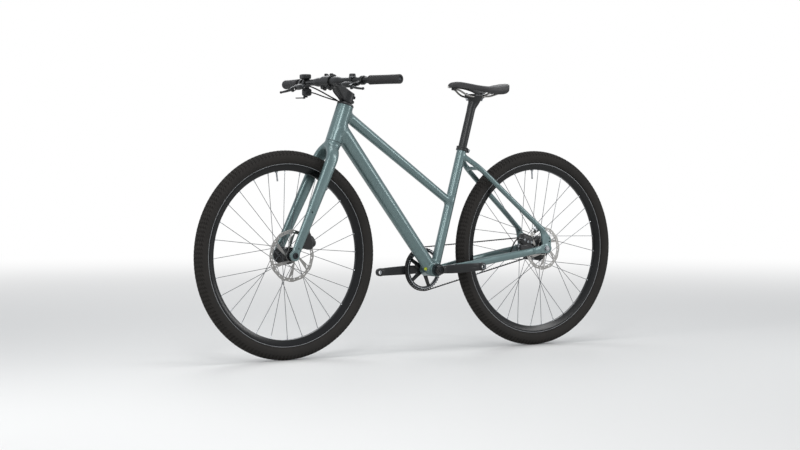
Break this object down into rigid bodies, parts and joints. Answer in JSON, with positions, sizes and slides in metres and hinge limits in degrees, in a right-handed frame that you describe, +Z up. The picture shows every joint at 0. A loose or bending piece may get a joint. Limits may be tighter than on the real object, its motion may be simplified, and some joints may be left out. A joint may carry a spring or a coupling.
{
  "type": "step-through bicycle",
  "caption": "Step-through city bicycle with belt drive, disc brakes, gently swept handlebar and slim saddle; steering, wheels, cranks, levers and seatpost move.",
  "frame": {"origin": "on the ground, halfway between the two axles, in the bike's middle plane", "axes": "+X forward, +Y to the rider's left, +Z up; the steering points straight ahead at rest"},
  "size_m": [1.816, 0.7206, 0.9935],
  "materials": {
    "paint": "gloss metallic",
    "black_metal": "black anodised",
    "silver": "satin",
    "steel": "brushed",
    "rubber": "matte",
    "tyre": "matte",
    "plastic": "fine grained",
    "saddle_cover": "synthetic, satin",
    "lime_plastic": "satin"
  },
  "bodies": {
    "frame": {"head_tube": "paint", "top_tube": "paint", "down_tube": "paint", "seat_tube": "paint", "bottom_bracket_shell": "paint", "chainstay_left": "paint", "chainstay_right": "paint", "seatstay_left": "paint", "seatstay_right": "paint", "stay_bridge": "paint", "seat_clamp": "black_metal", "upper_headset_bearing": "steel", "lower_headset_bearing": "steel", "bottom_bracket": "black_metal", "cable_port_plug": "lime_plastic", "rear_axle": "steel", "rear_caliper": "black_metal", "belt": "rubber"},
    "seatpost": {"seatpost": "black_metal", "saddle_clamp": "black_metal", "saddle_rails": "steel", "saddle_shell": "plastic", "saddle_pad": "saddle_cover"},
    "steering": {"fork": "paint", "headset_cover": "black_metal", "front_axle": "black_metal", "stem": "black_metal", "stem_faceplate": "black_metal", "handlebar": "black_metal", "grip_left": "rubber", "grip_right": "rubber", "brake_body_left": "black_metal", "brake_body_right": "black_metal", "shifter_body": "plastic", "left_brake_hose": "rubber", "right_brake_hose": "rubber", "gear_cable": "rubber", "front_caliper": "black_metal"},
    "front_wheel": {"front_hub": "black_metal", "front_spokes_left": "silver", "front_spokes_right": "silver", "front_rim": "black_metal", "front_tyre": "tyre", "front_inner_tube": "rubber", "front_rotor": "steel"},
    "rear_wheel": {"rear_hub": "black_metal", "rear_spokes_left": "silver", "rear_spokes_right": "silver", "rear_rim": "black_metal", "rear_tyre": "tyre", "rear_inner_tube": "rubber", "rear_rotor": "steel"},
    "cranks": {"crank_arm_left": "black_metal", "crank_arm_right": "black_metal", "front_belt_ring": "silver"},
    "rear_sprocket": {"rear_sprocket": "silver"},
    "brake_lever_left": {"brake_lever_left": "black_metal"},
    "brake_lever_right": {"brake_lever_right": "black_metal"},
    "thumb_lever": {"thumb_lever": "plastic"},
    "release_lever": {"release_lever": "plastic"}
  },
  "joints": [
    {"name": "steer", "type": "hinge", "parent": "frame", "child": "steering", "pos_m": [0.35096, 0, 0.75005], "axis": [-0.3584, 0, 0.9336], "range_deg": [-60, 60]},
    {"name": "front_wheel_spin", "type": "hinge", "parent": "steering", "child": "front_wheel", "pos_m": [0.5485, 0, 0.361], "axis": [0, 1, 0], "continuous": true},
    {"name": "rear_wheel_spin", "type": "hinge", "parent": "frame", "child": "rear_wheel", "pos_m": [-0.5485, 0, 0.361], "axis": [0, 1, 0], "continuous": true},
    {"name": "crank_spin", "type": "hinge", "parent": "frame", "child": "cranks", "pos_m": [-0.07212, 0, 0.2945], "axis": [0, 1, 0], "continuous": true},
    {"name": "sprocket_spin", "type": "hinge", "parent": "frame", "child": "rear_sprocket", "pos_m": [-0.5485, 0, 0.361], "axis": [0, 1, 0], "continuous": true},
    {"name": "left_brake_squeeze", "type": "hinge", "parent": "steering", "child": "brake_lever_left", "pos_m": [0.40146, 0.18469, 0.9382], "axis": [0.4441, 0.0944, 0.891], "range_deg": [0, 22], "stiffness_Nm_per_rad": 1.5, "springref_deg": -14.32},
    {"name": "right_brake_squeeze", "type": "hinge", "parent": "steering", "child": "brake_lever_right", "pos_m": [0.40146, -0.18469, 0.9382], "axis": [-0.4441, 0.0944, -0.891], "range_deg": [0, 22], "stiffness_Nm_per_rad": 1.5, "springref_deg": -14.32},
    {"name": "thumb_lever_push", "type": "hinge", "parent": "steering", "child": "thumb_lever", "pos_m": [0.36162, -0.15782, 0.9129], "axis": [0, 0, 1], "range_deg": [0, 25], "stiffness_Nm_per_rad": 0.4, "springref_deg": -17.19},
    {"name": "release_lever_pull", "type": "hinge", "parent": "steering", "child": "release_lever", "pos_m": [0.37105, -0.15676, 0.9079], "axis": [0, 0, -1], "range_deg": [0, 12], "stiffness_Nm_per_rad": 0.4, "springref_deg": -17.19},
    {"name": "seatpost_height", "type": "slide", "parent": "frame", "child": "seatpost", "axis": [-0.2756, 0, 0.9613], "range_m": [-0.12, 0.03]}
  ],
  "couplings": [
    {"joint": "sprocket_spin", "follows": "crank_spin", "ratio": 2.0455}
  ]
}
